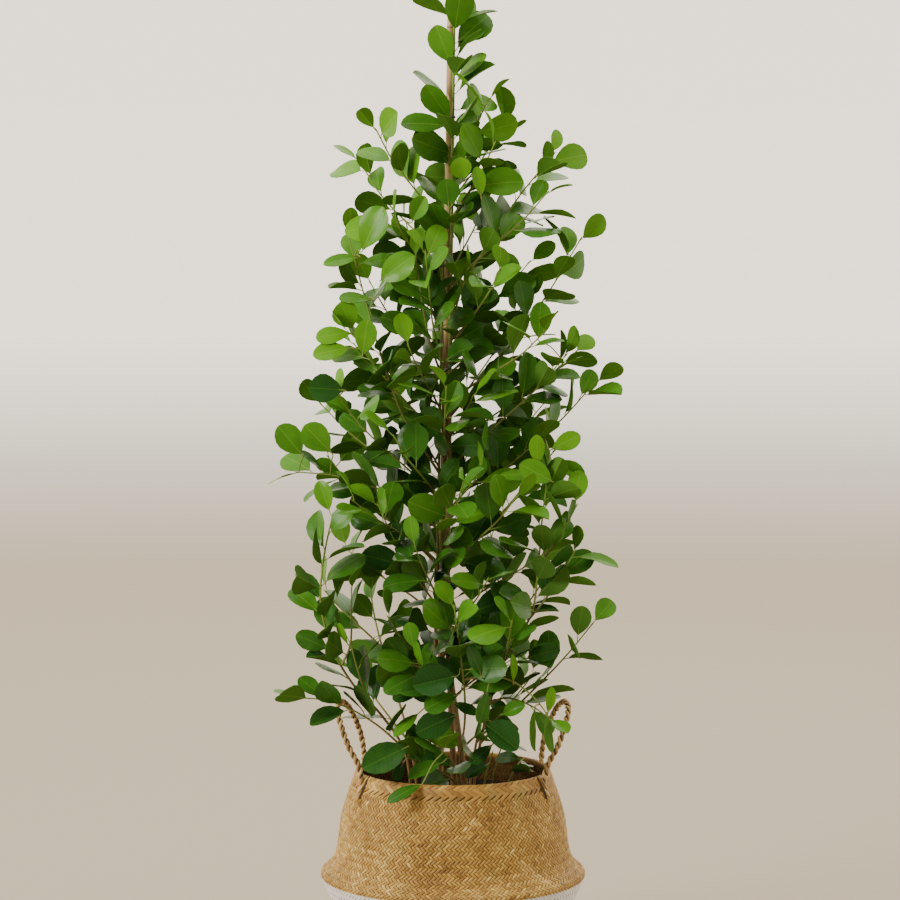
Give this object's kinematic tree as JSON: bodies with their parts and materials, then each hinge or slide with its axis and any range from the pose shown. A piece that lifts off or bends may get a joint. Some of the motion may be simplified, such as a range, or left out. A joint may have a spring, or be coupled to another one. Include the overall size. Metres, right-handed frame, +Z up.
{
  "type": "potted ficus",
  "caption": "Column-shaped potted ficus with rounded glossy leaves on stems tied to a bamboo cane, in a nursery pot inside a woven seagrass belly basket with rope handles.",
  "frame": {"origin": "centre of the basket's flat base, on the floor", "axes": "+Z up, -Y the front, as the picture sees it, +X to the right"},
  "size_m": [0.524, 0.4075, 1.5798],
  "materials": {
    "seagrass": "matte",
    "rope": "matte",
    "pot_plastic": "matte",
    "soil": "matte",
    "bamboo": "satin",
    "tie": "matte",
    "foliage": "satin"
  },
  "bodies": {
    "root": {"basket": "seagrass", "handle_left": "rope", "handle_right": "rope", "nursery_pot": "pot_plastic", "soil": "soil", "bamboo_cane": "bamboo", "tie_1": "tie", "tie_2": "tie", "tie_3": "tie", "tie_4": "tie", "tie_5": "tie", "tie_6": "tie", "stem_1": "foliage", "stem_2": "foliage", "stem_3": "foliage", "stem_4": "foliage", "stem_5": "foliage", "stem_6": "foliage", "stem_7": "foliage", "stem_8": "foliage", "stem_9": "foliage", "stem_10": "foliage", "stem_11": "foliage", "stem_12": "foliage"}
  },
  "joints": []
}
